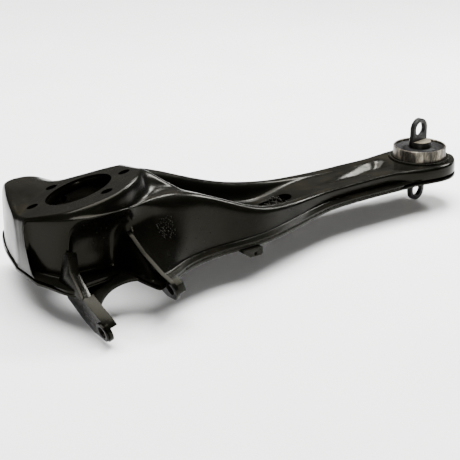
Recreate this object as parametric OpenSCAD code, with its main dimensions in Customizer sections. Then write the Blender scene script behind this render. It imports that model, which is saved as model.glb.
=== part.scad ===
// Stamped steel trailing arm: two welded pressings, a hub mounting face, a link clevis and a bonded bush.
// Z is the bush axis, X runs from the hub to the bush, and the origin is the middle of the bush.

/* [Pressings] */
// Sheet thickness of both pressings
sheet = 3; // [2.5:0.5:3.5]
// Height of the welded flange's upper face
flange_z = -11; // [-13:1:-9]
// Radius of the arm's end around the bush
eye_r = 47; // [45:1:49]
// Depth of the trough between the two rails
trough = 22; // [14:1:26]

/* [Hub face] */
// Hub face centre along the arm
hub_x = -506; // [-510:1:-502]
// Hub face centre across the arm
hub_y = -11; // [-14:1:-8]
// Hub face centre height
hub_z = 63; // [60:1:66]
// Lean of the hub face about the Y axis, in degrees
hub_rise = 15.5; // [14:0.5:17]
// Lean of the hub face about the X axis, in degrees
hub_roll = 10; // [8:0.5:12]
// Diameter of the hub's centre bore
hub_bore_d = 75; // [70:1:78]
// Pitch circle of the four hub bolts
hub_pcd = 104; // [102:1:106]
// Diameter of each hub bolt hole
hub_hole_d = 13; // [12.5:0.5:14]
// Thickness of the plate under the hub face
plate_t = 8; // [6:1:10]

/* [Link clevis] */
// Rise of the link bolt towards the rear ear, in degrees
link_rise = 18; // [16:1:20]
// Thickness of each ear
ear_t = 4; // [3:0.5:5]
// Clear gap between the ears
ear_gap = 79; // [76:1:81]
// Diameter of the link bolt hole
link_hole_d = 12.5; // [10.5:0.5:14.5]

/* [Bush] */
// Outer diameter of the steel sleeve
sleeve_d = 68; // [66:1:70]
// Length of the steel sleeve
sleeve_len = 40; // [36:1:44]
// Radius of the ball-shaped joint face inside the rubber
ball_r = 26; // [25:0.5:27]
// Diameter of the cross bar's middle
bar_d = 28; // [26:1:29]
// Distance between the two chassis bolt holes
chassis_pitch = 82; // [80:1:84]
// Diameter of each chassis bolt hole
chassis_hole_d = 18; // [16:0.5:18.5]
// Turn of the cross bar about the bush axis, in degrees
bar_turn = 9; // [5:1:13]

/* [Hidden] */
$fn = 72;

black = "#1b1c1e";
steel = "#8f8f8b";
rubber = "#141414";

hub_angles = [-80, -23, 100, 157];       // bolt directions, from the face's own X axis
ear_x = -553;                           // front ear's outer face at the link bolt
ear_y = -141;                           // link bolt, across the arm
ear_z = -41;                            // link bolt height at the front ear
lip_w = 9;                              // width of the front ear's rolled lip
bend_z = 29;                            // height of the front ear's bend above the link bolt
gusset_lean = 15;                       // lean of the front ear's upper half, in degrees
collar_t = 3.4;                         // wall of the collar
sleeve_t = 2.5;                         // wall of the sleeve
bottom_z = flange_z - sheet;            // where the two flanges meet
weld = 2.2;                             // leg of the ring welds
fit = 0.05;                             // radial gap of the running fits
nut_t = 9;                              // height of a weld nut

// Height of the hub face's plane at a point
function face_z(x, y) = hub_z + tan(hub_rise) * (x - hub_x) - tan(hub_roll) / cos(hub_rise) * (y - hub_y);

// The four points of a floor between two heights, kept close to its edges so that it stays flat
function floor_of(a, b, z_a, z_b) = let (c = min(10, (b - a) / 3), s = (z_b - z_a) / (b - a))
    [[a, z_a], [a + c, z_a + s * c], [b - c, z_b - s * c], [b, z_b]];

// One station of the arm: x, then the upper pressing's section as [y, z] pairs, from the near flange's
// edge over root, waist, crest, inner crest and trough to the far side
function arm(x, edge, crest, top, far, far_top, dip, rail = 13) =
    [x, [[edge, flange_z], [edge + 11, flange_z],
         [(edge + 11 + crest) / 2, (flange_z + top) / 2], [crest, top], [crest + rail, top],
         each floor_of(crest + rail + 6, far - rail - 6, top - dip, far_top - dip),
         [far - rail, far_top], [far, far_top], [far + 4, flange_z], [far + 14, flange_z]]];

// One station across the hub end: a wall up to a ledge, then a step up to the hub face, and a shoulder
function hub(x, edge, root, waist, ledge, near, back, shoulder, far) =
    [x, [[edge, flange_z], [root, flange_z], waist, ledge, [(ledge[0] + near) / 2, ledge[1]],
         each floor_of(near, back, face_z(x, near), face_z(x, back)), shoulder,
         [far, shoulder[1]], [far + 1, flange_z], [far + 6, flange_z]]];

// One station round the eye, where the trough has run out
function eye(x, y) =
    [x, [[-y, flange_z], [-y, flange_z + 2], [-y, -4], [1 - y, 3], [-y * 0.8, 4],
         [-y * 0.6, 4], [-y * 0.3, 4], [y * 0.3, 4], [y * 0.6, 4], [y * 0.8, 4], [y - 1, 3],
         [y, flange_z + 2], [y, flange_z]]];

// A closing station, with every point at one height
function rim(x, near, far) = [x, [for (k = [0 : 12]) [near + (far - near) * k / 12, flange_z]]];

stations = [
    rim(-579, -50, -2),
    hub(-576, -56, -18, [-14, 20], [-12, 41], -9, -5, [-2, 38], 4),
    hub(-566, -98, -38, [-37, 20], [-36, 46], -31, 8, [26, 48], 47),
    hub(-552, -98, -68, [-68, 24], [-68, 54], -58, 24, [56, 52], 83),
    hub(-545, -88, -62, [-62, 30], [-79, 57], -66, 31, [68, 52], 97),
    hub(-528, -84, -62, [-62, 36], [-89, 59], -78, 40, [82, 50], 108),
    hub(-505, -82, -62, [-62, 38], [-92, 61], -86, 50, [86, 48], 111),
    hub(-491, -80, -62, [-64, 36], [-89, 61], -83, 46, [78, 43], 103),
    hub(-484, -134, -122, [-76, 34], [-88, 60], -79, 40, [66, 41], 96),
    hub(-460, -124, -112, [-83, 38], [-82, 61], -62, 18, [46, 46], 86),
    hub(-446, -116, -105, [-82, 34], [-79, 61], -44, 0, [38, 50], 80),
    arm(-424, -103, -77, 60, 73, 50, -9, 20),
    arm(-398, -95, -75, 54, 66, 49, 3, 18),
    arm(-370, -91, -73, 43, 58, 42, 14),
    arm(-340, -91, -72, 30, 52, 31, trough),
    arm(-310, -88, -70, 18, 47, 21, trough),
    arm(-280, -80, -64, 11, 44, 13, trough),
    arm(-245, -68, -52, 6, 42, 7, trough - 4, 12),
    arm(-215, -57, -43, 4, 40, 4, 8, 12),
    arm(-180, -47, -36, 3, 38, 3, 3, 10),
    arm(-140, -44, -34, 3, 37, 3, 2, 12),
    arm(-100, -43, -33, 4, 37, 4, 2, 14),
    arm(-68, -43, -34, 4, 38, 4, 1, 20),
    eye(-40, 42),
    eye(-20, 45),
    eye(0, eye_r),
    eye(20, 43),
    eye(36, 31),
    eye(44, 16),
    rim(eye_r, -9, 9)
];

// Corner cutting: each inner corner gives way to two points, which rounds a path and keeps its ends
function cut(p) = [p[0], each [for (i = [0 : len(p) - 2]) each
    [if (i > 0) p[i] * 0.75 + p[i + 1] * 0.25, if (i < len(p) - 2) p[i] * 0.25 + p[i + 1] * 0.75]],
    p[len(p) - 1]];

// Moves a section inwards by the sheet's thickness, with mitred corners
function side(a, b) = let (d = b - a) [d[1], -d[0]] / norm(d);
function inset(p) = [for (i = [0 : len(p) - 1])
    let (m = side(p[max(i - 1, 0)], p[max(i, 1)]),
         n = side(p[min(i, len(p) - 2)], p[min(i + 1, len(p) - 1)]))
    p[i] + (m + n) * sheet / (1 + m * n)];

// Walls that face along X are as thick as the rest when the inner skin's stations step along too
function step_in(i) = i <= 1 ? sheet : i >= len(stations) - 2 ? -sheet : i == 7 || i == 8 ? sheet : 0;

// Rounds a grid of section points, across the arm and then along it
function round_grid(rows) =
    let (across = [for (r = rows) cut(r)], n = len(across[0]) - 1,
         along = [for (j = [0 : n]) cut([for (r = across) r[j]])])
    [for (i = [0 : len(along[0]) - 1]) [for (j = [0 : n]) along[j][i]]];

outer_skin = round_grid([for (s = stations) [for (p = s[1]) [s[0], p[0], p[1]]]]);
inner_skin = round_grid([for (i = [0 : len(stations) - 1])
    [for (p = inset(stations[i][1])) [stations[i][0] + step_in(i), p[0], p[1]]]]);

// A closed sheet between two equal grids of points
module skin(upper, lower) {
    rows = len(upper);
    cols = len(upper[0]);
    half = rows * cols;
    rim_walk = concat([for (j = [0 : cols - 1]) j], [for (i = [1 : rows - 1]) i * cols + cols - 1],
                      [for (j = [cols - 2 : -1 : 0]) (rows - 1) * cols + j],
                      [for (i = [rows - 2 : -1 : 1]) i * cols]);
    function quad(a, b, c, d) = [[a, b, c], [a, c, d]];
    polyhedron(
        points = concat([for (r = upper) each r], [for (r = lower) each r]),
        faces = concat(
            [for (i = [0 : rows - 2], j = [0 : cols - 2]) let (k = i * cols + j)
                each quad(k, k + 1, k + cols + 1, k + cols)],
            [for (i = [0 : rows - 2], j = [0 : cols - 2]) let (k = half + i * cols + j)
                each quad(k, k + cols, k + cols + 1, k + 1)],
            [for (k = [0 : len(rim_walk) - 1])
                let (a = rim_walk[k], b = rim_walk[(k + 1) % len(rim_walk)])
                each quad(b, a, a + half, b + half)]));
}

// The plan outline of the flange, which the lower pressing shares
outline = concat([for (r = outer_skin) [r[0][0], r[0][1]]],
                 [for (i = [len(outer_skin) - 1 : -1 : 0])
                     let (r = outer_skin[i]) [r[0][0], r[len(r) - 1][1]]]);

// Places children on the hub face, with Z along the wheel axis
module on_hub() translate([hub_x, hub_y, hub_z]) rotate([-hub_roll, -hub_rise, 0]) children();

// The centre bore and bolt holes of the hub face, as cutters
module hub_holes(bore, hole, depth) {
    on_hub() translate([0, 0, -depth]) {
        cylinder(d = bore, h = 2 * depth);
        for (a = hub_angles) rotate(a) translate([hub_pcd / 2, 0, 0]) cylinder(d = hole, h = 2 * depth);
    }
}

module upper_pressing() color(black) difference() {
    skin(outer_skin, inner_skin);
    hub_holes(hub_bore_d, hub_hole_d, 16);
    translate([0, 0, -40]) cylinder(d = sleeve_d + 2 * collar_t, h = 80);
    front_blank();
    rear_blank();
    // the drain opening at the trough's bush end
    translate([0, 0, -30]) linear_extrude(60) {
        translate([-250, -13]) square([26, 20]);
        for (x = [-250, -224]) translate([x, -3]) circle(d = 20);
    }
}

module lower_pressing() color(black) difference() {
    translate([0, 0, bottom_z - sheet]) linear_extrude(sheet) polygon(outline);
    front_blank();
    rear_blank();
    translate([0, 0, -60]) cylinder(d = sleeve_d + 2 * collar_t, h = 80);
    translate([-482, -22, -60]) cylinder(d = 92, h = 80);
    for (x = [-400 : 65 : -140]) translate([x, 0, -60]) cylinder(d = x < -250 ? 26 : 16, h = 80);
}

// A plate under the hub face, with a lobe round each bolt hole
module hub_plate() color(black) difference() {
    on_hub() translate([0, 0, -sheet - fit - plate_t]) {
        cylinder(d = hub_bore_d + 16, h = plate_t);
        for (a = hub_angles) rotate(a) translate([hub_pcd / 2, 0, 0]) cylinder(d = 24, h = plate_t);
    }
    hub_holes(hub_bore_d, hub_hole_d, 30);
}

module hub_weld_nuts() color(steel) on_hub()
    for (a = hub_angles) rotate(a) translate([hub_pcd / 2, 0, -sheet - fit - plate_t - nut_t])
        difference() {
            cylinder(d = 22, h = nut_t, $fn = 6);
            translate([0, 0, -1]) cylinder(d = 10.4, h = nut_t + 2);
        }

// A pressed bulkhead across the box, with a round lightening hole
module inner_bulkhead() color(black) translate([-372, 0, 0]) difference() {
    rotate([90, 0, 90]) linear_extrude(sheet)
        polygon([[-76, bottom_z], [54, bottom_z], [52, 16], [40, 22], [-44, 22], [-68, 18]]);
    translate([-10, -8, 4]) rotate([0, 90, 0]) cylinder(d = 22, h = 20);
}

// A strip that ties the ledge to the lower pressing behind the pocket
module pocket_ledge_brace() color(black) translate([-538, -56, bottom_z]) difference() {
    cube([44, sheet, 58]);
    translate([22, -1, 28]) rotate([-90, 0, 0]) cylinder(d = 20, h = sheet + 2);
}

// Frame of the clevis: the link bolt runs along X, and the origin is on the front ear's outer face
module on_link() translate([ear_x, ear_y, ear_z]) rotate([0, -link_rise, 0]) children();

// An ear: a round end on a plate with a given outline, seen along the bolt
module ear_blank(x, face) on_link() translate([x, 0, 0]) rotate([90, 0, 90])
    linear_extrude(ear_t) {
        polygon(face);
        circle(d = 24);
    }

// Places children on the front ear's upper half, which leans back to meet the pressing's corner
module on_gusset() on_link() translate([0, 0, bend_z]) rotate([0, link_rise + gusset_lean, 0]) children();

module link_hole() on_link() translate([-20, 0, 0]) rotate([0, 90, 0])
    cylinder(d = link_hole_d, h = ear_gap + 60);

module front_blank() {
    ear_blank(0, [[-6, 10.4], [24, bend_z], [66, bend_z], [66, 14], [44, -4], [28, -13], [14, -14], [0, -12]]);
    on_gusset() rotate([90, 0, 90]) linear_extrude(ear_t)
        polygon([[24, -1], [59, 17], [73, 35], [77, 30], [77, -1]]);
    // the rolled lip along the ear's upper edge, turned over towards the rear ear
    on_link() translate([ear_t - 1, 0, 0]) rotate([90, 0, 90]) linear_extrude(lip_w)
        polygon([[-10.4, 6], [-6, 10.4], [24, bend_z], [25.6, bend_z - 2.6], [-4, 7.6], [-8, 4]]);
    on_gusset() translate([ear_t - 1, 0, 0]) rotate([90, 0, 90]) linear_extrude(lip_w)
        polygon([[24, 0], [59, 17], [73, 35], [75.4, 33.2], [60.8, 14.6], [25.4, -2.6]]);
}

module rear_blank() ear_blank(ear_t + ear_gap,
    [[-2, 12], [10, 15], [38, 31], [52, 46], [60, 50], [60, 8], [12, -13], [0, -12]]);

module front_ear() color(black) difference() {
    front_blank();
    link_hole();
}

module rear_ear() color(black) difference() {
    rear_blank();
    link_hole();
}

module link_weld_nut() color(steel) on_link() translate([2 * ear_t + ear_gap, 0, 0]) difference() {
    rotate([0, 90, 0]) cylinder(d = 20, h = nut_t, $fn = 6);
    translate([-1, 0, 0]) rotate([0, 90, 0]) cylinder(d = link_hole_d - 2, h = nut_t + 2);
}

module ear_washer() color(steel) on_link() translate([-2.5, 0, 0]) difference() {
    rotate([0, 90, 0]) cylinder(d = 21, h = 2.5);
    translate([-1, 0, 0]) rotate([0, 90, 0]) cylinder(d = link_hole_d, h = 5);
}

// The web under the pocket, with an arched front edge
module ear_bridge() color(black) difference() {
    on_link() translate([ear_t, 24, 0]) rotate([12, 0, 0]) cube([ear_gap, 44, sheet]);
    on_link() translate([ear_t + ear_gap * 0.54, 12, -40]) cylinder(d = 72, h = 80);
    front_blank();
    translate([0, 0, bottom_z - sheet]) linear_extrude(60) polygon(outline);
}

// A bent tab under the flange, with a captive nut behind its hole
module hose_bracket() color(black) translate([-349, -96, bottom_z - sheet - 9]) difference() {
    union() {
        translate([0, sheet, 0]) rotate([90, 0, 0]) linear_extrude(sheet)
            polygon([[0, 9], [0, 6], [9, 0], [24, 0], [26, 2], [26, 9]]);
        translate([0, 0, 6]) cube([26, 22, sheet]);
    }
    translate([16, -1, 3]) rotate([-90, 0, 0]) cylinder(d = 4, h = sheet + 2);
}

module bracket_nut() color(steel) translate([-333, -93, bottom_z - sheet - 6]) difference() {
    rotate([-90, 0, 0]) cylinder(d = 5.6, h = 4, $fn = 6);
    translate([0, -1, 0]) rotate([-90, 0, 0]) cylinder(d = 3.2, h = 6);
}

module ring(outer, inner, low, high) difference() {
    translate([0, 0, low]) cylinder(d = outer, h = high - low);
    translate([0, 0, low - 1]) cylinder(d = inner, h = high - low + 2);
}

module bush_collar() color(black)
    ring(sleeve_d + 2 * collar_t, sleeve_d, bottom_z - sheet - weld, 4 + weld);

module bush_sleeve() color(steel)
    ring(sleeve_d, sleeve_d - 2 * sleeve_t, -sleeve_len / 2, sleeve_len / 2);

module outer_rubber() color(rubber) difference() {
    translate([0, 0, -17]) cylinder(d = sleeve_d - 2 * sleeve_t, h = 34);
    sphere(r = ball_r);
}

module inner_rubber() color(rubber) difference() {
    intersection() {
        sphere(r = ball_r - 0.3);
        translate([0, 0, -18]) cylinder(r = ball_r, h = 36);
    }
    translate([0, 0, -30]) cylinder(d = bar_d + 2 * fit, h = 60);
}

// A round bar whose two ends are cut away to flat lugs, each with a chassis bolt hole
module cross_bar() color(black) rotate(bar_turn) difference() {
    lug_w = bar_d;
    lug_t = 6;
    union() {
        translate([0, 0, -26]) cylinder(d = bar_d, h = 52);
        for (s = [-1, 1]) {
            translate([-lug_w / 2, 0, s > 0 ? 20 : -chassis_pitch / 2])
                cube([lug_w, lug_t, chassis_pitch / 2 - 20]);
            translate([0, 0, s * chassis_pitch / 2]) rotate([-90, 0, 0]) cylinder(d = lug_w, h = lug_t);
        }
    }
    for (s = [-1, 1]) translate([0, -20, s * chassis_pitch / 2])
        rotate([-90, 0, 0]) cylinder(d = chassis_hole_d, h = 40);
}

// Fillet welds where the collar comes through each pressing
module collar_welds() color(black) {
    r = sleeve_d / 2 + collar_t;
    translate([0, 0, 4]) rotate_extrude() polygon([[r, 0], [r + weld, 0], [r, weld]]);
    translate([0, 0, bottom_z - sheet]) rotate_extrude() polygon([[r, 0], [r + weld, 0], [r, -weld]]);
}

// The seam weld along a flange's edge, as a six-sided bead through the outline's points
module seam(points) {
    n = len(points);
    ring_at = [for (p = points) each [for (a = [0 : 60 : 300])
        [p[0], p[1] + 1.7 * cos(a), bottom_z + 1.7 * sin(a)]]];
    walls = [for (i = [0 : n - 2], k = [0 : 5]) let (a = 6 * i + k, b = 6 * i + (k + 1) % 6)
        each [[a, b + 6, b], [a, a + 6, b + 6]]];
    polyhedron(ring_at, concat(walls, [[0, 1, 2, 3, 4, 5], [for (k = [5 : -1 : 0]) 6 * n - 6 + k]]));
}

module flange_welds() color(black) {
    rows = [for (r = outer_skin) if (r[0][0] > -435 && r[0][0] < -70) r];
    seam([for (r = rows) [r[0][0], r[0][1]]]);
    seam([for (r = rows) [r[0][0], r[len(r) - 1][1]]]);
}

upper_pressing();
lower_pressing();
hub_plate();
hub_weld_nuts();
inner_bulkhead();
pocket_ledge_brace();
front_ear();
rear_ear();
link_weld_nut();
ear_washer();
ear_bridge();
hose_bracket();
bracket_nut();
bush_collar();
bush_sleeve();
outer_rubber();
inner_rubber();
cross_bar();
collar_welds();
flange_welds();
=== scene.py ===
import math

import bmesh
import bpy
from mathutils import Matrix, Vector


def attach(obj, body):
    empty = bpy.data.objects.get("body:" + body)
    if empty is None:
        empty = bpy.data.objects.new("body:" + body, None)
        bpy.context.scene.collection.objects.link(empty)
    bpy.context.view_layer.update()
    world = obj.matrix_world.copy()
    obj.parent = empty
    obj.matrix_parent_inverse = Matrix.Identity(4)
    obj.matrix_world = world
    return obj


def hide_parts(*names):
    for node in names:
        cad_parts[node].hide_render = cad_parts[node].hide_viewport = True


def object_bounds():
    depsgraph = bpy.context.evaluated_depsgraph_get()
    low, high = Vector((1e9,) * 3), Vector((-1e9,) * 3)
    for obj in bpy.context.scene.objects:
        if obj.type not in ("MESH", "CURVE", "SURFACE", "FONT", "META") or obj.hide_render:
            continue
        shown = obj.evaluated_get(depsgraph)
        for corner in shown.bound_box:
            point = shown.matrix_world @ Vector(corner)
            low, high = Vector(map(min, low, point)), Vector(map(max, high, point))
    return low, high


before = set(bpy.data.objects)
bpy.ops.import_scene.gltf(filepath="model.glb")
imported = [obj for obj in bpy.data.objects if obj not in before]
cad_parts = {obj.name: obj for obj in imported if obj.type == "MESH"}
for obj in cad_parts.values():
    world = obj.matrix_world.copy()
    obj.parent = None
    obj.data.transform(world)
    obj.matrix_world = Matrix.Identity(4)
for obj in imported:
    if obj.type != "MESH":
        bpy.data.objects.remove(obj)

cad_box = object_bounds()

# Everything below is set out in millimetres and turned to metres when a mesh is made.
MM = 0.001

# ---------------------------------------------------------------- driving sizes, as on the drawing
# The sheet's thickness, the top of the flange, and the seam under it where the two pressings meet
SHEET = 3
FLANGE_Z = -11
SEAM_Z = FLANGE_Z - SHEET
# The round end about the bush, and how deep the trough between the rails is
EYE_R = 47
TROUGH = 22
# The hub face: its middle, its rise towards the bush and roll across the arm in degrees, its bore, and
# its four bolt holes with their pitch circle and places round it in degrees
HUB = Vector((-506, -11, 63))
HUB_RISE = 15.5
HUB_ROLL = 10
HUB_BORE = 75
HUB_PCD = 104
HUB_HOLE = 13
HUB_ANGLES = (-80, -23, 100, 157)
# The bush: its outer tube, the collar round it, the ball-shaped joint in the rubber, and the bar
SLEEVE_R = 34
SLEEVE_WALL = 2.5
SLEEVE_HALF = 20
COLLAR_WALL = 3.4
BALL_R = 26
BAR_R = 14
# the bore in both pressings that the collar passes through, and a height well past the arm either way
COLLAR_SEAT_R = SLEEVE_R + COLLAR_WALL - 0.2
PAST_LOW, PAST_HIGH = -60, 40


# ---------------------------------------------------------------- materials
def paint(hex_code):
    """An sRGB hex colour, turned to the linear values that a shader takes."""
    channels = [int(hex_code[i:i + 2], 16) / 255 for i in (1, 3, 5)]
    return [c / 12.92 if c <= 0.04045 else ((c + 0.055) / 1.055) ** 2.4 for c in channels] + [1]


def add(mat, kind, settings=None, **links):
    """Adds one node to a material, with its settings and what feeds its inputs."""
    node = mat.node_tree.nodes.new(kind)
    for name, value in (settings or {}).items():
        if name in node.inputs:
            node.inputs[name].default_value = value
        else:
            setattr(node, name, value)
    for name, source in links.items():
        mat.node_tree.links.new(source, node.inputs[name.replace("_", " ")])
    return node


def blank(name):
    """An empty material with its shader, its output and a position in millimetres."""
    mat = bpy.data.materials.new(name)
    mat.use_nodes = True
    mat.node_tree.nodes.clear()
    shader = add(mat, "ShaderNodeBsdfPrincipled")
    add(mat, "ShaderNodeOutputMaterial", Surface=shader.outputs["BSDF"])
    place = add(mat, "ShaderNodeTexCoord")
    in_mm = add(mat, "ShaderNodeVectorMath", {"operation": "SCALE", "Scale": 1000},
                Vector=place.outputs["Object"])
    return mat, shader, in_mm.outputs["Vector"]


def grain(mat, where, size, detail=3, rough=0.5, stretch=None):
    """Noise whose lumps are about `size` millimetres across, drawn out along an axis by `stretch`."""
    if stretch:
        where = add(mat, "ShaderNodeVectorMath", {"operation": "MULTIPLY"}, Vector=where).outputs["Vector"]
        where.node.inputs[1].default_value = stretch
    return add(mat, "ShaderNodeTexNoise", {"Scale": 1 / size, "Detail": detail, "Roughness": rough},
               Vector=where).outputs["Fac"]


def ramp(mat, value, *stops):
    """A colour or grey ramp from (place, hex or grey) stops."""
    node = add(mat, "ShaderNodeValToRGB", Fac=value)
    band = node.color_ramp
    while len(band.elements) < len(stops):
        band.elements.new(0.5)
    for element, (at, tone) in zip(band.elements, stops):
        element.position = at
        element.color = paint(tone) if isinstance(tone, str) else (tone, tone, tone, 1)
    return node.outputs["Color"]


def relief(mat, shader, height, depth, under=None):
    """Feeds a height pattern, `depth` millimetres tall, to the shader's normal."""
    bump = add(mat, "ShaderNodeBump", {"Strength": 1.0, "Distance": depth * MM}, Height=height)
    if under:
        mat.node_tree.links.new(under, bump.inputs["Normal"])
    mat.node_tree.links.new(bump.outputs["Normal"], shader.inputs["Normal"])
    return bump.outputs["Normal"]


def electrocoat(name, gloss=0.16, peel=0.05):
    """Black electrocoat over pressed sheet: deep gloss with a faint orange peel and the sheet's own
    shallow waviness, a slight olive cast, and painted top light: lighter olive patches where it faces up.
    It reflects little head on and strongly at a glance, so that walls stay black and edges shine."""
    mat, shader, where = blank(name)
    # painted top light: patchy noise times how far the face points up lightens the base colour
    patch_noise = grain(mat, where, 40, 4, 0.6)
    up = add(mat, "ShaderNodeNewGeometry")
    facing = add(mat, "ShaderNodeSeparateXYZ", Vector=up.outputs["Normal"]).outputs["Z"]
    painted_top_light = add(mat, "ShaderNodeMath", {"operation": "MULTIPLY", "use_clamp": True})
    mat.node_tree.links.new(patch_noise, painted_top_light.inputs[0])
    mat.node_tree.links.new(facing, painted_top_light.inputs[1])
    tone = ramp(mat, painted_top_light.outputs["Value"], (0.15, "#030302"), (0.45, "#080806"), (0.75, "#15130d"))
    mat.node_tree.links.new(tone, shader.inputs["Base Color"])
    haze = ramp(mat, grain(mat, where, 22, 5, 0.62), (0.3, gloss), (0.7, gloss + 0.12))
    mat.node_tree.links.new(haze, shader.inputs["Roughness"])
    shader.inputs["IOR"].default_value = 1.36
    shader.inputs["Specular IOR Level"].default_value = 0.12
    shader.inputs["Specular Tint"].default_value = paint("#fffbe0")
    # the press leaves ripples a few centimetres long; the coat dries to a peel 3 mm across
    sheet_wave = relief(mat, shader, grain(mat, where, 35, 1), 0.25)
    relief(mat, shader, grain(mat, where, 3, 2), peel, sheet_wave)
    return mat


def tube_steel():
    """Drawn mild steel tube, phosphated and oiled: mottled grey and beige with faint lines along the
    draw and darker stains near the weld."""
    mat, shader, where = blank("phosphated_steel_tube")
    blotch = grain(mat, where, 9, 6, 0.7, (1, 1, 0.5))
    streak = grain(mat, where, 3, 4, 0.6, (1, 1, 0.12))
    tone = ramp(mat, blotch, (0.33, "#25231f"), (0.48, "#4a463e"), (0.6, "#736c60"), (0.74, "#a0988a"))
    lines = ramp(mat, streak, (0.35, "#55524b"), (0.6, "#ffffff"))
    mixed = add(mat, "ShaderNodeMix", {"data_type": "RGBA", "blend_type": "MULTIPLY"})
    mixed.inputs[0].default_value = 0.75
    mat.node_tree.links.new(tone, mixed.inputs[6])
    mat.node_tree.links.new(lines, mixed.inputs[7])
    mat.node_tree.links.new(mixed.outputs[2], shader.inputs["Base Color"])
    shader.inputs["Metallic"].default_value = 0.85
    mat.node_tree.links.new(ramp(mat, streak, (0.3, 0.58), (0.7, 0.32)), shader.inputs["Roughness"])
    relief(mat, shader, blotch, 0.12)
    return mat


def bar_steel():
    """Forged steel, black phosphate: dull, near black and finely gritty from the shot blast."""
    mat, shader, where = blank("phosphated_forging")
    tone = ramp(mat, grain(mat, where, 6, 5, 0.65), (0.3, "#070706"), (0.6, "#11100e"), (0.8, "#23201b"))
    mat.node_tree.links.new(tone, shader.inputs["Base Color"])
    shader.inputs["Metallic"].default_value = 0.35
    shader.inputs["Roughness"].default_value = 0.42
    shader.inputs["Specular IOR Level"].default_value = 0.15
    # shot-blast grit is 0.3 mm, drawn at 1 mm so that it shows
    relief(mat, shader, grain(mat, where, 1, 2), 0.06)
    return mat


def machined_steel():
    """The bar's sawn and faced end, bare: pale warm grey with fine tool arcs."""
    mat, shader, where = blank("faced_steel")
    rings = add(mat, "ShaderNodeTexWave", {"wave_type": "RINGS", "Scale": 0.9, "Distortion": 1.5},
                Vector=where).outputs["Fac"]
    tone = ramp(mat, rings, (0.2, "#5d574b"), (0.8, "#7d7565"))
    mat.node_tree.links.new(tone, shader.inputs["Base Color"])
    shader.inputs["Metallic"].default_value = 0.7
    mat.node_tree.links.new(ramp(mat, grain(mat, where, 4, 3), (0.3, 0.38), (0.7, 0.55)),
                            shader.inputs["Roughness"])
    relief(mat, shader, rings, 0.03)
    return mat


def bonded_rubber():
    """Natural rubber, moulded and bonded: matt black with a bloom and a fine mould texture."""
    mat, shader, where = blank("moulded_rubber")
    tone = ramp(mat, grain(mat, where, 7, 5, 0.6), (0.35, "#040404"), (0.62, "#0b0b0a"), (0.8, "#191814"))
    mat.node_tree.links.new(tone, shader.inputs["Base Color"])
    mat.node_tree.links.new(ramp(mat, grain(mat, where, 3, 3), (0.3, 0.5), (0.7, 0.72)),
                            shader.inputs["Roughness"])
    shader.inputs["IOR"].default_value = 1.5
    shader.inputs["Specular IOR Level"].default_value = 0.12
    relief(mat, shader, grain(mat, where, 1.2, 3), 0.08)
    return mat


def plated_steel():
    """Zinc-plated cold-headed steel of nuts and washers, dulled under overspray of the black coat."""
    mat, shader, where = blank("oversprayed_zinc")
    tone = ramp(mat, grain(mat, where, 5, 4, 0.6), (0.35, "#16160f"), (0.6, "#2c2b26"), (0.8, "#6a675e"))
    mat.node_tree.links.new(tone, shader.inputs["Base Color"])
    shader.inputs["Metallic"].default_value = 0.8
    shader.inputs["Roughness"].default_value = 0.36
    relief(mat, shader, grain(mat, where, 1.5, 2), 0.04)
    return mat


def studio_floor():
    """Matt white paper sweep."""
    mat, shader, where = blank("white_paper")
    tone = ramp(mat, grain(mat, where, 300, 2), (0.3, "#e9e9e8"), (0.7, "#efefee"))
    mat.node_tree.links.new(tone, shader.inputs["Base Color"])
    shader.inputs["Roughness"].default_value = 0.9
    shader.inputs["Specular IOR Level"].default_value = 0.1
    return mat


COAT = electrocoat("black_electrocoat")
WELD = electrocoat("coated_weld_metal", gloss=0.22, peel=0.12)
SMALL = electrocoat("coated_small_parts", gloss=0.2, peel=0.04)
TUBE = tube_steel()
BAR = bar_steel()
FACED = machined_steel()
RUBBER = bonded_rubber()
ZINC = plated_steel()


# ---------------------------------------------------------------- mesh helpers
def keep(name, mesh, material, body, slot, *nodes, crease=32):
    """Makes a finished piece of a mesh: shading, material, body and the nodes it stands for; the slot
    argument is not used.
    """
    mesh.name = name
    piece = bpy.data.objects.new(name, mesh)
    bpy.context.scene.collection.objects.link(piece)
    mesh.shade_smooth()
    mesh.set_sharp_from_angle(angle=math.radians(crease))
    if not mesh.materials:
        mesh.materials.append(material)
    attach(piece, body)
    if nodes:
        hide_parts(*nodes)
    return piece


def mesh_from(points, faces, name="work"):
    """A mesh from points in millimetres."""
    mesh = bpy.data.meshes.new(name)
    mesh.from_pydata([Vector(p) * MM for p in points], [], faces)
    mesh.validate()
    return mesh


def outward(mesh, merge=1e-6):
    """Merges doubles and turns all faces outwards."""
    bm = bmesh.new()
    bm.from_mesh(mesh)
    bmesh.ops.remove_doubles(bm, verts=bm.verts, dist=merge)
    bmesh.ops.recalc_face_normals(bm, faces=bm.faces)
    bm.to_mesh(mesh)
    bm.free()
    return mesh


def finished(mesh, *modifiers):
    """The mesh with modifiers applied; each is (kind, settings)."""
    work = bpy.data.objects.new("work", mesh)
    bpy.context.scene.collection.objects.link(work)
    for kind, settings in modifiers:
        mod = work.modifiers.new(kind, kind)
        for key, value in settings.items():
            setattr(mod, key, value)
    result = bpy.data.meshes.new_from_object(work.evaluated_get(bpy.context.evaluated_depsgraph_get()))
    bpy.data.objects.remove(work)
    return result


def cut_away(mesh, cutters):
    """Takes each cutter mesh out of a mesh."""
    tools = []
    for cutter in cutters:
        tool = bpy.data.objects.new("cutter", cutter)
        bpy.context.scene.collection.objects.link(tool)
        tools.append(tool)
    bpy.context.view_layer.update()
    result = finished(mesh, *[("BOOLEAN", {"operation": "DIFFERENCE", "object": tool, "solver": "EXACT"})
                              for tool in tools])
    for tool in tools:
        bpy.data.objects.remove(tool)
    return result


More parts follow.
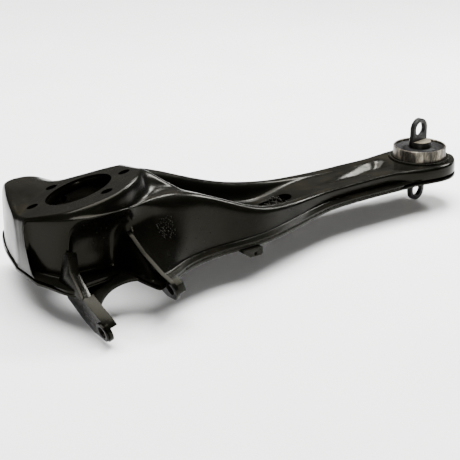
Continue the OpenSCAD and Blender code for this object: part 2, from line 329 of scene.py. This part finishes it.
def rod(radius, low, high, at=(0, 0, 0), turn=None, sides=64):
    """A cylinder mesh along Z from low to high, turned and then moved."""
    bm = bmesh.new()
    bmesh.ops.create_cone(bm, cap_ends=True, segments=sides, radius1=radius * MM, radius2=radius * MM,
                          depth=(high - low) * MM)
    bmesh.ops.translate(bm, verts=bm.verts, vec=(0, 0, (high + low) / 2 * MM))
    place = Matrix.Translation(Vector(at) * MM) @ (turn or Matrix())
    bmesh.ops.transform(bm, matrix=place, verts=bm.verts)
    mesh = bpy.data.meshes.new("rod")
    bm.to_mesh(mesh)
    bm.free()
    return mesh


def lathe(profile, sides=160):
    """A closed ring from an (r, z) outline, or a solid where the outline starts and ends at r = 0."""
    ring = profile[0][0] > 0
    rows = [[(r * math.cos(2 * math.pi * k / sides), r * math.sin(2 * math.pi * k / sides), z)
             for k in range(sides)] for r, z in profile]
    points = [p for row in rows for p in row]
    faces = []
    for i in range(len(rows) if ring else len(rows) - 1):
        a, b = i * sides, (i + 1) % len(rows) * sides
        faces += [(a + k, a + (k + 1) % sides, b + (k + 1) % sides, b + k) for k in range(sides)]
    return outward(mesh_from(points, faces))


def eased(node, radius=0.6, segments=2):
    """A copy of a CAD node with its loose triangles joined and its sharp edges rounded."""
    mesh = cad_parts[node].data.copy()
    mesh.transform(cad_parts[node].matrix_world)
    mesh.materials.clear()
    bm = bmesh.new()
    bm.from_mesh(mesh)
    bmesh.ops.remove_doubles(bm, verts=bm.verts, dist=1e-6)
    bmesh.ops.dissolve_limit(bm, angle_limit=math.radians(0.8), verts=bm.verts, edges=bm.edges)
    bm.to_mesh(mesh)
    bm.free()
    return finished(mesh, ("BEVEL", {"width": radius * MM, "segments": segments, "limit_method": "ANGLE",
                                     "angle_limit": math.radians(35), "harden_normals": False}))


# ---------------------------------------------------------------- the upper pressing
def face_z(x, y):
    """Height of the hub face's plane."""
    rise, roll = math.radians(HUB_RISE), math.radians(HUB_ROLL)
    return HUB.z + math.tan(rise) * (x - HUB.x) - math.tan(roll) / math.cos(rise) * (y - HUB.y)


def floor_of(a, b, z_a, z_b):
    """Four points of a floor between two heights, kept near its edges so that it stays flat."""
    c, s = min(10, (b - a) / 3), (z_b - z_a) / (b - a)
    return [(a, z_a), (a + c, z_a + s * c), (b - c, z_b - s * c), (b, z_b)]


def arm(x, edge, crest, top, far, far_top, dip, rail=13):
    """A station of the arm: near flange, root, waist, rail, trough floor, far rail, far flange."""
    return x, [(edge, FLANGE_Z), (edge + 11, FLANGE_Z), ((edge + 11 + crest) / 2, (FLANGE_Z + top) / 2),
               (crest, top), (crest + rail, top),
               *floor_of(crest + rail + 6, far - rail - 6, top - dip, far_top - dip),
               (far - rail, far_top), (far, far_top), (far + 4, FLANGE_Z), (far + 14, FLANGE_Z)]


def hub(x, edge, root, waist, ledge, near, back, shoulder, far):
    """A station across the hub end: a wall, its ledge, a step up to the hub face, and a shoulder."""
    return x, [(edge, FLANGE_Z), (root, FLANGE_Z), waist, ledge, ((ledge[0] + near) / 2, ledge[1]),
               *floor_of(near, back, face_z(x, near), face_z(x, back)), shoulder, (far, shoulder[1]),
               (far + 1, FLANGE_Z), (far + 6, FLANGE_Z)]


def eye(x, y):
    """A station round the eye, where the trough has run out."""
    half = [(y, FLANGE_Z), (y, FLANGE_Z + 2), (y, -4), (y - 1, 3), (y * 0.8, 4), (y * 0.6, 4), (y * 0.3, 4)]
    return x, [(-a, z) for a, z in half[:3]] + [(1 - y, 3)] + [(-a, z) for a, z in half[4:]] + half[:2:-1] \
        + [half[1], half[0]]


def rim(x, near, far):
    """A closing station, with every point at the flange's height."""
    return x, [(near + (far - near) * k / 12, FLANGE_Z) for k in range(13)]


STATIONS = [
    rim(-579, -50, -2),
    hub(-576, -56, -18, (-14, 20), (-12, 41), -9, -5, (-2, 38), 4),
    hub(-566, -98, -38, (-37, 20), (-36, 46), -31, 8, (26, 48), 47),
    hub(-552, -98, -68, (-68, 24), (-68, 54), -58, 24, (56, 52), 83),
    hub(-545, -88, -62, (-62, 30), (-79, 57), -66, 31, (68, 52), 97),
    hub(-528, -84, -62, (-62, 36), (-89, 59), -78, 40, (82, 50), 108),
    hub(-505, -82, -62, (-62, 38), (-92, 61), -86, 50, (86, 48), 111),
    hub(-491, -80, -62, (-64, 36), (-89, 61), -83, 46, (78, 43), 103),
    hub(-484, -134, -122, (-76, 34), (-88, 60), -79, 40, (66, 41), 96),
    hub(-478, -132, -120, (-78, 35), (-86, 60), -75, 34, (61, 42), 93),
    hub(-460, -124, -112, (-83, 38), (-82, 61), -62, 18, (46, 46), 86),
    hub(-446, -116, -105, (-82, 34), (-79, 61), -44, 0, (38, 50), 80),
    arm(-424, -103, -77, 60, 73, 50, -9, 20),
    arm(-398, -95, -75, 54, 66, 49, 3, 18),
    arm(-370, -91, -73, 43, 58, 42, 14),
    arm(-340, -91, -72, 30, 52, 31, TROUGH),
    arm(-310, -88, -70, 18, 47, 21, TROUGH),
    arm(-280, -80, -64, 11, 44, 13, TROUGH),
    arm(-245, -68, -52, 6, 42, 7, TROUGH - 4, 12),
    arm(-215, -57, -43, 4, 40, 4, 8, 12),
    arm(-180, -47, -36, 3, 38, 3, 3, 10),
    arm(-140, -44, -34, 3, 37, 3, 2, 12),
    arm(-100, -43, -33, 4, 37, 4, 2, 14),
    arm(-68, -43, -34, 4, 38, 4, 1, 20),
    eye(-40, 42),
    eye(-20, 45),
    eye(0, EYE_R),
    eye(20, 43),
    eye(36, 31),
    eye(44, 16),
    rim(EYE_R, -9, 9),
]


def cut(points):
    """Corner cutting: each inner corner gives way to two points, and the ends stay."""
    made = [points[0]]
    for i in range(len(points) - 1):
        a, b = points[i], points[i + 1]
        if i > 0:
            made.append(a.lerp(b, 0.25))
        if i < len(points) - 2:
            made.append(a.lerp(b, 0.75))
    return made + [points[-1]]


def inset(points):
    """A section moved inwards by the sheet's thickness, with mitred corners."""
    def side(a, b):
        d = b - a
        return Vector((d.y, -d.x)) / d.length
    made = []
    for i, p in enumerate(points):
        before = side(points[max(i - 1, 0)], points[max(i, 1)])
        after = side(points[min(i, len(points) - 2)], points[min(i + 1, len(points) - 1)])
        made.append(p + (before + after) * SHEET / (1 + before.dot(after)))
    return made


def rounded_grid(rows, times_across, times_along):
    """Rounds a grid of section points, across the arm and then along it."""
    for _ in range(times_across):
        rows = [cut(row) for row in rows]
    columns = [list(column) for column in zip(*rows)]
    for _ in range(times_along):
        columns = [cut(column) for column in columns]
    return [list(row) for row in zip(*columns)]


# The drawn channel between the rails near the eye: its axis, half widths and depth, and the height below
# which a point belongs to the flange and stays
CHANNEL_START, CHANNEL_END = Vector((-168, -9)), Vector((-64, 9))
CHANNEL_HALF = (4, 17)
CHANNEL_DEPTH = 7.5
CHANNEL_BELOW = -6


def drawn_channel(p):
    """How far the channel near the eye sinks a point."""
    along_axis = CHANNEL_END - CHANNEL_START
    flat = Vector((p.x, p.y)) - CHANNEL_START
    t = flat.dot(along_axis) / along_axis.length_squared
    t_in = min(max(t, 0), 1)
    off = (flat - along_axis * t_in).length
    half = CHANNEL_HALF[0] + (CHANNEL_HALF[1] - CHANNEL_HALF[0]) * t_in
    if off >= half or p.z < CHANNEL_BELOW:
        return 0
    run_in = min(t_in * 1.3 + 0.12, 1)
    return CHANNEL_DEPTH * run_in * (0.5 + 0.5 * math.cos(math.pi * off / half)) ** 0.8


def crisp(row):
    """A section with two more points beside each flange's root, which keep its bend tight."""
    a, b = [Vector(p) for p in row[:3]], [Vector(p) for p in row[:-4:-1]]
    near, far = [[s[0], s[0].lerp(s[1], 0.75), s[1], s[1].lerp(s[2], 0.2)] for s in (a, b)]
    return near + [Vector(p) for p in row[2:-2]] + far[::-1]


# The stations whose wall faces along the arm, so that their sheet lies to one side of them
WALLS_TO_HUB_END = (-579, -576, -491, -484)
WALLS_TO_EYE_END = (44, EYE_R)


def pressing_skins():
    """The pressing's outer and inner skins, as two equal grids of points."""
    fine = ((3, 2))
    stations = [(x, crisp(row)) for x, row in STATIONS]
    outer = [[Vector((x, y, z)) for y, z in row] for x, row in stations]
    inner = []
    for x, row in stations:
        step = SHEET if x in WALLS_TO_HUB_END else -SHEET if x in WALLS_TO_EYE_END else 0
        inner.append([Vector((x + step, p.x, p.y)) for p in inset([Vector(q) for q in row])])
    outer, inner = rounded_grid(outer, *fine), rounded_grid(inner, *fine)
    for grid in (outer, inner):
        for row in grid:
            for p in row:
                p.z -= drawn_channel(p)
    return outer, inner


OUTER, INNER = pressing_skins()


def closed_sheet(upper, lower):
    """A closed mesh between two equal grids."""
    rows, cols = len(upper), len(upper[0])
    half = rows * cols
    faces = []
    for i in range(rows - 1):
        for j in range(cols - 1):
            k = i * cols + j
            faces.append((k, k + 1, k + cols + 1, k + cols))
            faces.append((half + k, half + k + cols, half + k + cols + 1, half + k + 1))
    walk = list(range(cols)) + [i * cols + cols - 1 for i in range(1, rows)]
    walk += [(rows - 1) * cols + j for j in range(cols - 2, -1, -1)]
    walk += [i * cols for i in range(rows - 2, 0, -1)]
    for a, b in zip(walk, walk[1:] + walk[:1]):
        faces.append((b, a, a + half, b + half))
    return outward(mesh_from([p for grid in (upper, lower) for row in grid for p in row], faces), 1e-5)


ON_HUB = Matrix.Rotation(math.radians(-HUB_RISE), 4, "Y") @ Matrix.Rotation(math.radians(-HUB_ROLL), 4, "X")


def hub_cutters(depth=20):
    """The centre bore and the four bolt holes of the hub face."""
    made = [rod(HUB_BORE / 2, -depth, depth, HUB, ON_HUB, 128)]
    for angle in HUB_ANGLES:
        spot = HUB + ON_HUB @ Matrix.Rotation(math.radians(angle), 4, "Z") @ Vector((HUB_PCD / 2, 0, 0))
        made.append(rod(HUB_HOLE / 2, -depth, depth, spot, ON_HUB, 40))
    return made


def slab(outline, low, high):
    """A closed slab of a plan outline, from one height to another."""
    n = len(outline)
    points = [(x, y, z) for z in (low, high) for x, y in outline]
    faces = [tuple(range(n))[::-1], tuple(range(n, 2 * n))]
    faces += [(k, (k + 1) % n, n + (k + 1) % n, n + k) for k in range(n)]
    return outward(mesh_from(points, faces))


def trough_opening():
    """A slot with round ends, cut through the floor at the trough's bush end."""
    x_low, x_high, y, r = -250, -224, -3, 10
    arc = [(x + r * math.cos(math.radians(a)), y + r * math.sin(math.radians(a)))
           for x, start in ((x_low, 90), (x_high, -90)) for a in range(start, start + 181, 12)]
    return slab(arc, -30, 30)


def upper_pressing():
    """The big upper pressing, drawn in one piece and punched."""
    sheet = closed_sheet(OUTER, INNER)
    collar_seat = rod(COLLAR_SEAT_R, -40, 40, sides=160)
    sheet = cut_away(sheet, hub_cutters() + [collar_seat, trough_opening()])
    return keep("upper_pressing_skin", sheet, COAT, "arm", "black_paint", "upper_pressing", crease=62)


# The lower plate's round access hole under the hub, and its row of drain holes, wide and then small
ACCESS_R, ACCESS_AT = 46, (-482, -22, 0)
DRAINS_X = range(-400, -139, 65)
DRAIN_WIDE_R, DRAIN_SMALL_R, DRAIN_CHANGE_X = 13, 8, -250


def lower_pressing():
    """The flat closing pressing, with the upper's plan outline and its edge standing a little proud."""
    proud = 1.0
    near = [(row[0].x, row[0].y - proud) for row in OUTER]
    far = [(row[-1].x, row[-1].y + proud) for row in OUTER]
    plate = slab(near + far[::-1], SEAM_Z - SHEET, SEAM_Z)
    holes = [rod(COLLAR_SEAT_R, PAST_LOW, PAST_HIGH, sides=160),
             rod(ACCESS_R, PAST_LOW, PAST_HIGH, ACCESS_AT, sides=96)]
    holes += [rod(DRAIN_WIDE_R if x < DRAIN_CHANGE_X else DRAIN_SMALL_R, PAST_LOW, PAST_HIGH, (x, 0, 0),
                  sides=48) for x in DRAINS_X]
    plate = cut_away(plate, holes)
    plate = finished(plate, ("BEVEL", {"width": 0.7 * MM, "segments": 2, "limit_method": "ANGLE",
                                       "angle_limit": math.radians(40)}))
    return keep("lower_pressing_plate", plate, COAT, "arm", "black_paint", "lower_pressing")


# ---------------------------------------------------------------- the bush
def sleeve():
    """The bush's outer tube: chamfered rims and a faint draw mark."""
    inner, c = SLEEVE_R - SLEEVE_WALL, 0.7
    mesh = lathe([(inner, -SLEEVE_HALF + c), (inner + c, -SLEEVE_HALF), (SLEEVE_R - c, -SLEEVE_HALF),
                  (SLEEVE_R, -SLEEVE_HALF + c), (SLEEVE_R, SLEEVE_HALF - c), (SLEEVE_R - c, SLEEVE_HALF),
                  (inner + c, SLEEVE_HALF), (inner, SLEEVE_HALF - c)])
    return keep("bush_sleeve_tube", mesh, TUBE, "arm", "bare_steel", "bush_sleeve")


def collar():
    """The arm's welded collar that the sleeve is pressed into."""
    r = SLEEVE_R + COLLAR_WALL
    low, high, c = SEAM_Z - SHEET - 2.2, 6.2, 0.9
    mesh = lathe([(SLEEVE_R + 0.02, low), (r - c, low), (r, low + c), (r, high - c), (r - c, high),
                  (SLEEVE_R + 0.6, high), (SLEEVE_R + 0.02, high - 0.6)])
    return keep("bush_collar_ring", mesh, COAT, "arm", "black_paint", "bush_collar")


def outer_rubber():
    """The outer half of the rubber: a lip against the sleeve, a dished face and the ball-shaped seat."""
    wall = SLEEVE_R - SLEEVE_WALL
    top = [(wall, 16.8), (wall - 0.8, 17), (wall - 2, 16.2), (wall - 4, 14.8), (25, 14.0), (22.5, 14.3),
           (21.4, 15.1)]
    seat = [(BALL_R * math.cos(math.radians(a)), BALL_R * math.sin(math.radians(a)))
            for a in range(34, -35, -4)]
    mesh = lathe(top + seat + [(r, -z) for r, z in top[::-1]])
    return keep("outer_rubber_ring", mesh, RUBBER, "arm", "rubber", "outer_rubber", crease=60)


def inner_rubber():
    """The inner half of the rubber, bonded round the bar, with a softly domed face."""
    ball = BALL_R - 0.3
    side = [(ball * math.cos(math.radians(a)), ball * math.sin(math.radians(a)))
            for a in range(36, -37, -4)]
    top = [(BAR_R + 0.05, 17.4), (BAR_R + 1, 18), (BAR_R + 3, 17.6), (19.5, 16.4)]
    mesh = lathe(top + side + [(r, -z) for r, z in top[::-1]])
    return keep("inner_rubber_ring", mesh, RUBBER, "bush_core", "rubber", "inner_rubber", crease=60)


def cross_bar():
    """The forged bar, eased all over, with its two sawn end faces left bright."""
    mesh = eased("cross_bar", 1.1, 3)
    mesh.materials.append(BAR)
    mesh.materials.append(FACED)
    for face in mesh.polygons:
        if abs(face.normal.z) > 0.97 and abs(abs(face.center.z) - 26 * MM) < 0.4 * MM:
            face.material_index = 1
    return keep("forged_cross_bar", mesh, BAR, "bar", "bar_steel", "cross_bar")


# ---------------------------------------------------------------- small parts
def small_parts():
    """The plain pressed and turned pieces, with their edges eased."""
    for node, name, radius, material, slot in (
            ("hub_plate", "hub_reinforcing_plate", 0.8, COAT, "black_paint"),
            ("hub_weld_nuts", "hub_weld_nut_set", 0.7, ZINC, "bare_steel"),
            ("inner_bulkhead", "inner_bulkhead_plate", 0.5, COAT, "black_paint"),
            ("pocket_ledge_brace", "pocket_brace_strip", 0.5, COAT, "black_paint"),
            ("front_ear", "front_clevis_ear", 1.2, SMALL, "black_paint"),
            ("rear_ear", "rear_clevis_ear", 1.2, SMALL, "black_paint"),
            ("link_weld_nut", "clevis_weld_nut", 0.7, SMALL, "black_paint"),
            ("ear_washer", "clevis_washer", 0.4, SMALL, "black_paint"),
            ("ear_bridge", "clevis_bridge_plate", 0.8, SMALL, "black_paint"),
            ("hose_bracket", "hose_bracket_tab", 0.8, SMALL, "black_paint"),
            ("bracket_nut", "hose_bracket_nut", 0.4, ZINC, "black_paint")):
        keep(name, eased(node, radius), material, "arm", slot, node)


# ---------------------------------------------------------------- welds and spatter, by geometry nodes
# Drops to a square metre that spatter may reach: high, so that their spacing alone sets how many there are
MOST_DROPS = 300000


def bead_tree(name, on_faces):
    """Geometry Nodes: small flattened drops along a path, or scattered over a patch of faces."""
    tree = bpy.data.node_groups.new(name, "GeometryNodeTree")
    face = tree.interface
    face.new_socket("Geometry", in_out="INPUT", socket_type="NodeSocketGeometry")
    for label, kind in (("Spacing", "NodeSocketFloat"), ("Drop Radius", "NodeSocketFloat"),
                        ("Drop Height", "NodeSocketFloat"), ("Seed", "NodeSocketInt"),
                        ("Metal", "NodeSocketMaterial")):
        face.new_socket(label, in_out="INPUT", socket_type=kind)
    face.new_socket("Geometry", in_out="OUTPUT", socket_type="NodeSocketGeometry")

    def put(kind, settings=None, **links):
        node = tree.nodes.new(kind)
        for key, value in (settings or {}).items():
            if key in node.inputs:
                node.inputs[key].default_value = value
            else:
                setattr(node, key, value)
        for key, source in links.items():
            tree.links.new(source, node.inputs[key.replace("_", " ")])
        return node

    given = put("NodeGroupInput").outputs
    if on_faces:
        dots = put("GeometryNodeDistributePointsOnFaces",
                   {"distribute_method": "POISSON", "Density Max": MOST_DROPS},
                   Mesh=given["Geometry"], Distance_Min=given["Spacing"], Seed=given["Seed"])
        points, turn = dots.outputs["Points"], dots.outputs["Rotation"]
    else:
        line = put("GeometryNodeMeshToCurve", Mesh=given["Geometry"])
        even = put("GeometryNodeResampleCurve", {"mode": "LENGTH"}, Curve=line.outputs["Curve"],
                   Length=given["Spacing"])
        dots = put("GeometryNodeCurveToPoints", {"mode": "EVALUATED"}, Curve=even.outputs["Curve"])
        points, turn = dots.outputs["Points"], dots.outputs["Rotation"]
    drop = put("GeometryNodeMeshIcoSphere", {"Radius": 1.0, "Subdivisions": 2})
    spread = put("FunctionNodeRandomValue", {"data_type": "FLOAT"}, Seed=given["Seed"])
    spread.inputs[2].default_value, spread.inputs[3].default_value = (0.35, 1.0) if on_faces else (0.85, 1.1)
    wide = put("ShaderNodeMath", {"operation": "MULTIPLY"})
    tree.links.new(given["Drop Radius"], wide.inputs[0])
    tree.links.new(spread.outputs[1], wide.inputs[1])
    tall = put("ShaderNodeMath", {"operation": "MULTIPLY"})
    tree.links.new(given["Drop Height"], tall.inputs[0])
    tree.links.new(spread.outputs[1], tall.inputs[1])
    size = put("ShaderNodeCombineXYZ", X=wide.outputs[0], Y=wide.outputs[0], Z=tall.outputs[0])
    laid = put("GeometryNodeInstanceOnPoints", Points=points, Instance=drop.outputs["Mesh"], Rotation=turn,
               Scale=size.outputs[0])
    real = put("GeometryNodeRealizeInstances", Geometry=laid.outputs["Instances"])
    smooth = put("GeometryNodeSetShadeSmooth", Geometry=real.outputs["Geometry"])
    metal = put("GeometryNodeSetMaterial", Geometry=smooth.outputs["Geometry"], Material=given["Metal"])
    put("NodeGroupOutput", Geometry=metal.outputs["Geometry"])
    return tree


BEAD = bead_tree("weld_bead", False)
SPATTER = bead_tree("weld_spatter", True)


def grown(mesh, tree, **inputs):
    """The mesh that a tree makes from a path or a patch, with its inputs set by socket identifier."""
    work = bpy.data.objects.new("work", mesh)
    mod = work.modifiers.new("grown", "NODES")
    mod.node_group = tree
    names = {item.name: item.identifier for item in tree.interface.items_tree if item.in_out == "INPUT"}
    for label, value in inputs.items():
        mod[names[label.replace("_", " ")]] = value
    bpy.context.scene.collection.objects.link(work)
    result = bpy.data.meshes.new_from_object(work.evaluated_get(bpy.context.evaluated_depsgraph_get()))
    work.modifiers.clear()
    bpy.data.objects.remove(work)
    return result


def path(points, closed=False):
    """A path of edges through points in millimetres."""
    mesh = bpy.data.meshes.new("path")
    edges = [(k, k + 1) for k in range(len(points) - 1)] + ([(len(points) - 1, 0)] if closed else [])
    mesh.from_pydata([Vector(p) * MM for p in points], edges, [])
    return mesh


def circle_path(r, z, steps=120):
    """A ring path round the bush axis."""
    return path([(r * math.cos(2 * math.pi * k / steps), r * math.sin(2 * math.pi * k / steps), z)
                 for k in range(steps)], True)


def joined(meshes):
    """Several meshes as one."""
    bm = bmesh.new()
    for mesh in meshes:
        bm.from_mesh(mesh)
    made = bpy.data.meshes.new("joined")
    bm.to_mesh(made)
    bm.free()
    return made


def weld_run(points, radius, seed, height):
    """One run of weld, as overlapping ripples along a path."""
    return grown(path(points), BEAD, Spacing=radius * 0.75 * MM, Drop_Radius=radius * MM,
                 Drop_Height=height * MM, Seed=seed, Metal=WELD)


def welds():
    """The weld runs round the collar and along both flanges."""
    r = SLEEVE_R + COLLAR_WALL + 0.5
    above, below = 4.6, SEAM_Z - SHEET - 0.6
    rings = [grown(circle_path(r, z), BEAD, Spacing=1.5 * MM, Drop_Radius=1.9 * MM, Drop_Height=1.0 * MM,
                   Seed=seed, Metal=WELD) for z, seed in ((above, 3), (below, 4))]
    mesh = joined(rings)
    keep("collar_weld_beads", mesh, WELD, "arm", "black_paint", "collar_welds", crease=80)
    seam_from, seam_to, sunk = -435, -70, 0.2
    rows = [row for row in OUTER if seam_from < row[0].x < seam_to]
    seams = [weld_run([(row[j].x, row[j].y + side * sunk, SEAM_Z) for row in rows], 1.5, seed, 1.0)
             for j, side, seed in ((0, 1, 5), (-1, -1, 6))]
    keep("flange_weld_beads", joined(seams), WELD, "arm", "black_paint", "flange_welds", crease=80)


# Splashes of spatter: the middle, its reach, the spacing and radius of its drops, and its seed
SPLASHES = (
    ((-442, -85, 29), 15, 2.2, 1.3, 11),
    ((-236, -3, -8), 16, 2.0, 1.6, 12),
    ((-510, -63, 30), 14, 6, 0.9, 13),
    ((-466, -50, 62), 16, 8, 0.8, 14),
    ((-395, -85, 0), 30, 12, 0.8, 15),
)


def spatter():
    """Drops of weld metal that stuck beside the welds: a few loose ones, and two dense splashes."""
    def patch(middle, reach):
        spot = Vector(middle)
        points, faces = [], []
        for i in range(len(OUTER) - 1):
            for j in range(len(OUTER[0]) - 1):
                quad = [OUTER[i][j], OUTER[i][j + 1], OUTER[i + 1][j + 1], OUTER[i + 1][j]]
                if all((q - spot).length < reach for q in quad):
                    faces.append(tuple(range(len(points), len(points) + 4)))
                    points += quad
        return mesh_from(points, faces)
    made = []
    for middle, reach, spacing, size, seed in SPLASHES:
        mesh = patch(middle, reach)
        if mesh.polygons:
            made.append(grown(mesh, SPATTER, Spacing=spacing * MM, Drop_Radius=size * MM,
                              Drop_Height=size * 0.6 * MM, Seed=seed, Metal=WELD))
    keep("weld_spatter_drops", joined(made), WELD, "arm", "black_paint", crease=80)


upper_pressing()
lower_pressing()
sleeve()
collar()
outer_rubber()
inner_rubber()
cross_bar()
small_parts()
welds()
spatter()


# ---------------------------------------------------------------- camera, floor and light
YAW, PITCH = math.radians(35), math.radians(21)
FORWARD = Vector((math.sin(YAW) * math.cos(PITCH), math.cos(YAW) * math.cos(PITCH), -math.sin(PITCH)))
RIGHT = Vector((math.cos(YAW), -math.sin(YAW), 0))
UP = RIGHT.cross(FORWARD)


def camera():
    """A long lens that looks along the arm from the hub's near side, with the bush at the upper right."""
    distance, right_of_centre, above_centre = 1.657, 0.2463, 0.092
    lens = bpy.data.cameras.new("camera")
    lens.lens, lens.sensor_width = 99.47, 36
    lens.clip_end = 50
    view = bpy.data.objects.new("camera", lens)
    turn = Matrix((RIGHT, UP, -FORWARD)).transposed().to_4x4()
    view.matrix_world = Matrix.Translation(-FORWARD * distance - RIGHT * right_of_centre
                                           - UP * above_centre) @ turn
    bpy.context.scene.collection.objects.link(view)
    bpy.context.scene.camera = view


def lamp(name, place, aim, size, power, colour="#ffffff"):
    """A rectangular soft light, aimed at a point."""
    data = bpy.data.lights.new(name, "AREA")
    data.shape = "RECTANGLE"
    data.size, data.size_y = size
    data.energy = power
    data.color = paint(colour)[:3]
    light = bpy.data.objects.new(name, data)
    light.location = place
    light.rotation_euler = (Vector(aim) - Vector(place)).to_track_quat("-Z", "Y").to_euler()
    bpy.context.scene.collection.objects.link(light)


def studio():
    """A pale floor, soft light from above and behind, and small cards that draw the bright lines."""
    gap = 0.002
    low = cad_box[0][2] - gap
    bm = bmesh.new()
    bmesh.ops.create_grid(bm, x_segments=1, y_segments=1, size=12)
    bmesh.ops.translate(bm, verts=bm.verts, vec=(0, 0, low))
    mesh = bpy.data.meshes.new("floor")
    bm.to_mesh(mesh)
    bm.free()
    floor = bpy.data.objects.new("floor", mesh)
    bpy.context.scene.collection.objects.link(floor)
    mesh.materials.append(studio_floor())
    world = bpy.data.worlds.new("studio")
    world.use_nodes = True
    world.node_tree.nodes["Background"].inputs["Color"].default_value = paint("#f4f4f2")
    world.node_tree.nodes["Background"].inputs["Strength"].default_value = 0.16
    bpy.context.scene.world = world
    middle, channel = (-0.28, 0, 0), (-0.1, 0.01, 0)
    hub_wall, flange_root = (-0.49, -0.08, 0.03), (-0.28, -0.07, -0.01)
    lamp("overhead", (-0.3, 0.5, 3.0), middle, (3.2, 3.2), 500)
    lamp("far_sky", (1.3, 3.0, 1.6), middle, (4.0, 1.4), 5, "#fff4e2")
    lamp("channel_card", (1.09, 0.08, 0.92), channel, (0.34, 0.24), 22)
    lamp("root_card", (0.57, 0.33, 1.3), flange_root, (0.3, 0.3), 26)
    lamp("left_strip", (-1.5, 0.2, 0.7), middle, (0.25, 1.0), 0.4)
    lamp("fold_strip", (-1.5, -1.85, 0.35), hub_wall, (0.1, 0.7), 24)


camera()
studio()
